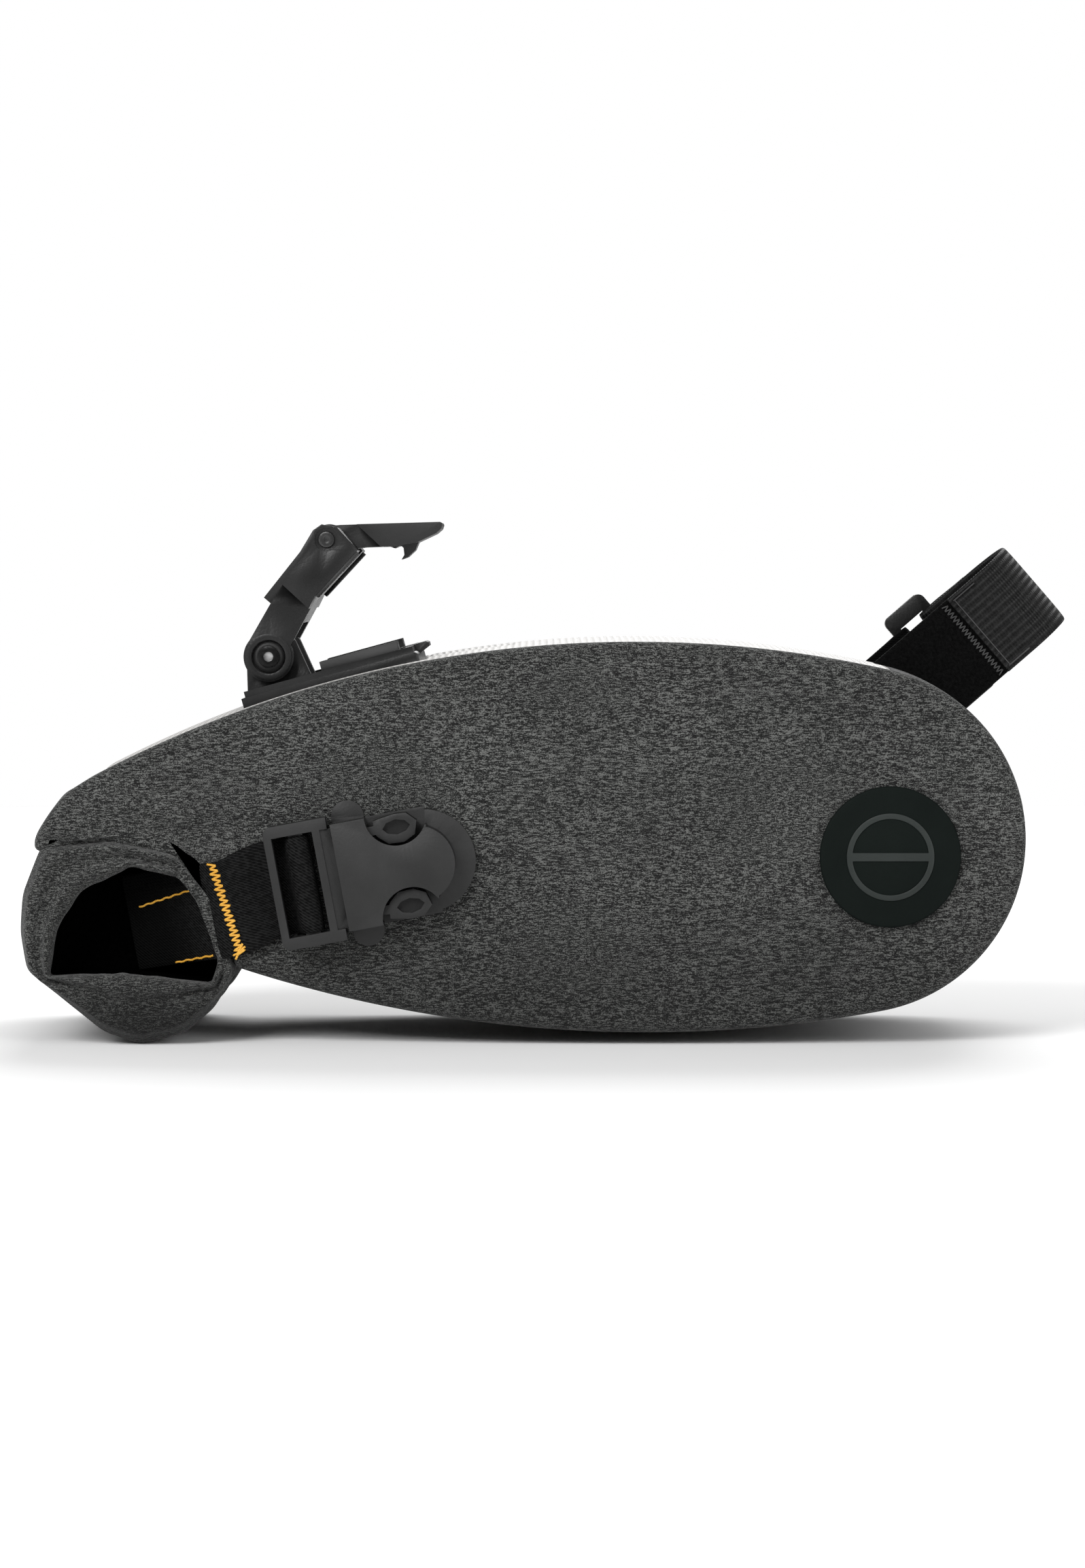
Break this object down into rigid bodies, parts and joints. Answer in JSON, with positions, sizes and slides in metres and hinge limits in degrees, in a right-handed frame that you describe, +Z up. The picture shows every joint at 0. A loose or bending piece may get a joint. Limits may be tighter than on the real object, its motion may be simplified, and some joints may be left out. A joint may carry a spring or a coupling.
{
  "type": "saddle bag",
  "caption": "Roll-top pouch for under a bicycle saddle, with a hinged clamp for the saddle rails, side-release buckles and a seatpost strap.",
  "frame": {"origin": "under the middle of the bag, on the surface that it lies on", "axes": "+X forwards to the seatpost strap, +Z up, the badge faces -Y"},
  "size_m": [0.2741, 0.1028, 0.1352],
  "materials": {
    "heather_fabric": "melange woven polyester, dark grey",
    "gusset_fabric": "ribbed coated fabric, silver grey",
    "liner_film": "coated waterproof liner",
    "stiffener_plastic": "flat strip",
    "badge_rubber": "smooth matt",
    "clamp_plastic": "moulded, fine grain",
    "backing_plastic": "flat sheet",
    "grip_rubber": "soft",
    "steel": "plated",
    "buckle_plastic": "moulded, satin",
    "loop_tape": "brushed loop pile",
    "webbing": "ribbed woven webbing"
  },
  "bodies": {
    "bag": {"side_panel_near": "heather_fabric", "side_panel_far": "heather_fabric", "top_panel": "gusset_fabric", "nose_panel": "heather_fabric", "belly_panel": "heather_fabric", "liner": "liner_film", "rear_collar": "heather_fabric", "roll_core": "heather_fabric", "roll_end_near": "heather_fabric", "roll_end_far": "heather_fabric", "roll_stiffener": "stiffener_plastic", "badge": "badge_rubber", "badge_mark": "badge_rubber", "clamp_base": "clamp_plastic", "clamp_backing_plate": "backing_plastic", "clamp_screws": "steel", "rail_cradle_near": "grip_rubber", "rail_cradle_far": "grip_rubber", "hinge_screw": "steel", "hinge_nut": "steel", "hinge_washers": "steel", "buckle_socket_near": "buckle_plastic", "buckle_socket_far": "buckle_plastic", "buckle_webbing_near": "webbing", "buckle_webbing_far": "webbing", "strap_tape": "loop_tape", "strap_band": "webbing", "strap_ring": "buckle_plastic", "ring_tab": "webbing"},
    "arm": {"clamp_arm": "clamp_plastic", "arm_grips": "grip_rubber", "latch_pin": "steel"},
    "latch": {"latch_lever": "clamp_plastic", "latch_spring": "steel"},
    "buckle_near": {"buckle_plug_near": "buckle_plastic", "webbing_turn_near": "webbing"},
    "prong_upper_near": {"prong_upper_near": "buckle_plastic"},
    "prong_lower_near": {"prong_lower_near": "buckle_plastic"},
    "buckle_far": {"buckle_plug_far": "buckle_plastic", "webbing_turn_far": "webbing"},
    "prong_upper_far": {"prong_upper_far": "buckle_plastic"},
    "prong_lower_far": {"prong_lower_far": "buckle_plastic"}
  },
  "joints": [
    {"name": "clamp_arm_hinge", "type": "hinge", "parent": "bag", "child": "arm", "pos_m": [-0.07241, 0, 0.09984], "axis": [0, 1, 0], "range_deg": [-45, 32]},
    {"name": "latch_lever_hinge", "type": "hinge", "parent": "arm", "child": "latch", "pos_m": [-0.0567, 0, 0.13054], "axis": [0, 1, 0], "range_deg": [-6, 6], "stiffness_Nm_per_rad": 0.05},
    {"name": "buckle_release_near", "type": "slide", "parent": "bag", "child": "buckle_near", "axis": [-0.9833, 0, -0.1822], "range_m": [0, 0.018]},
    {"name": "prong_upper_near_flex", "type": "hinge", "parent": "buckle_near", "child": "prong_upper_near", "pos_m": [-0.053, 0, 0.05425], "axis": [0, 1, 0], "range_deg": [0, 10.05]},
    {"name": "prong_lower_near_flex", "type": "hinge", "parent": "buckle_near", "child": "prong_lower_near", "pos_m": [-0.04924, 0, 0.03399], "axis": [0, 1, 0], "range_deg": [-10.05, 0]},
    {"name": "buckle_release_far", "type": "slide", "parent": "bag", "child": "buckle_far", "axis": [-0.9833, 0, -0.1822], "range_m": [0, 0.018]},
    {"name": "prong_upper_far_flex", "type": "hinge", "parent": "buckle_far", "child": "prong_upper_far", "pos_m": [-0.053, 0, 0.05425], "axis": [0, 1, 0], "range_deg": [0, 10.05]},
    {"name": "prong_lower_far_flex", "type": "hinge", "parent": "buckle_far", "child": "prong_lower_far", "pos_m": [-0.04924, 0, 0.03399], "axis": [0, 1, 0], "range_deg": [-10.05, 0]}
  ],
  "couplings": [
    {"joint": "prong_upper_near_flex", "follows": "buckle_release_near", "rad_per_m": 9.6963},
    {"joint": "prong_lower_near_flex", "follows": "buckle_release_near", "rad_per_m": -9.6963},
    {"joint": "prong_upper_far_flex", "follows": "buckle_release_far", "rad_per_m": 9.6963},
    {"joint": "prong_lower_far_flex", "follows": "buckle_release_far", "rad_per_m": -9.6963}
  ]
}
